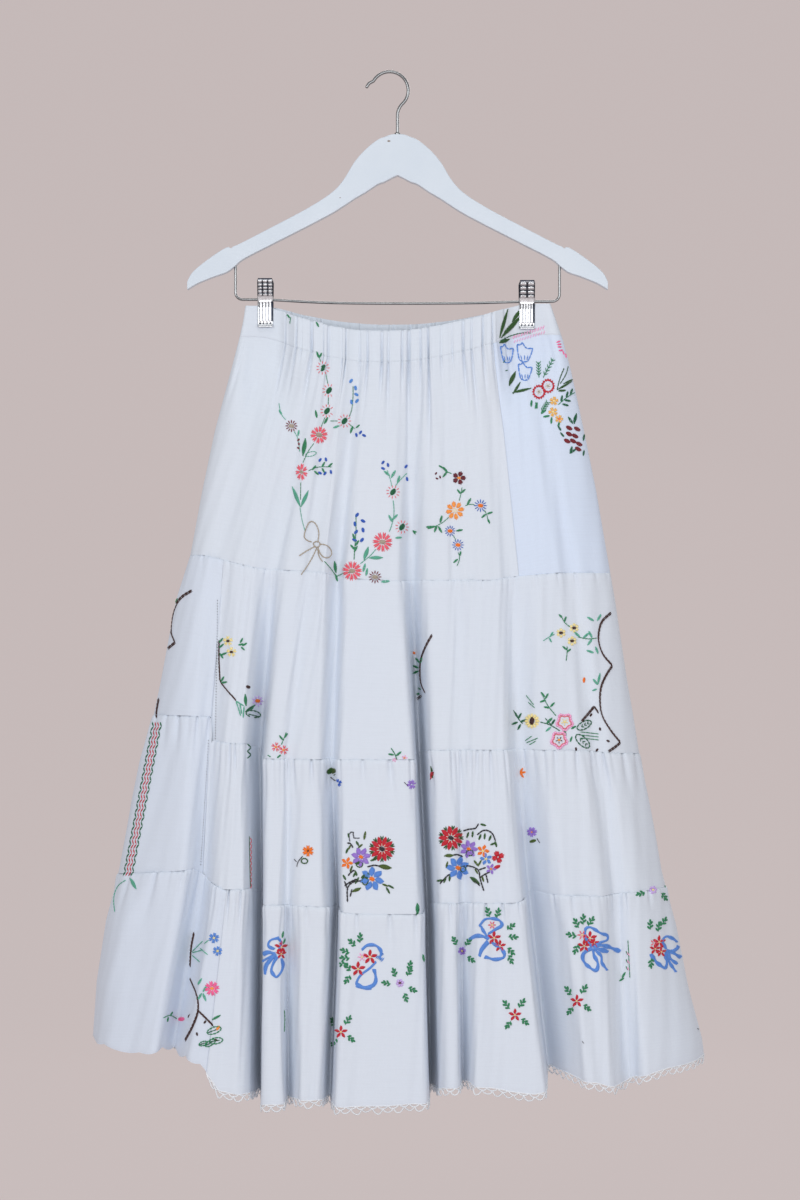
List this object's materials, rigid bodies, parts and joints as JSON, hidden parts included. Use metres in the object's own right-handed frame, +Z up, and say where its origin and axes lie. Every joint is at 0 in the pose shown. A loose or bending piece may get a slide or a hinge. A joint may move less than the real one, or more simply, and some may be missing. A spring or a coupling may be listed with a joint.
{
  "type": "tiered skirt on clip hanger",
  "caption": "Long embroidered patchwork skirt in gathered linen tiers with a crocheted lace hem, hung by two metal clips from a flat wooden hanger with a wire hook.",
  "frame": {"origin": "inside of the hook's crown, where a rail bears on it", "axes": "+Z up, along the hook's stem; +X to the right across the hanger as seen from the front; the front faces -Y"},
  "size_m": [0.6369, 0.208, 1.0799],
  "materials": {
    "linen": "washed plain-weave linen, cool white, with coloured hand embroidery",
    "lace": "crocheted cotton thread, off-white",
    "wood": "white painted wood, satin, lightly scuffed",
    "chrome": "bright plated wire and stamped plate"
  },
  "bodies": {
    "root": {"waistband_front": "linen", "waistband_back": "linen", "tier_1_front": "linen", "tier_1_patch": "linen", "tier_1_back": "linen", "tier_2_left": "linen", "tier_2_front": "linen", "tier_2_back": "linen", "tier_3_left": "linen", "tier_3_front": "linen", "tier_3_back": "linen", "tier_4_left": "linen", "tier_4_front": "linen", "tier_4_back": "linen", "lace_front": "lace", "lace_back": "lace", "hanger_body": "wood", "hanger_hook": "chrome", "hanger_bar": "chrome", "clip_left_front": "chrome", "clip_left_back": "chrome", "clip_right_front": "chrome", "clip_right_back": "chrome"}
  },
  "joints": []
}
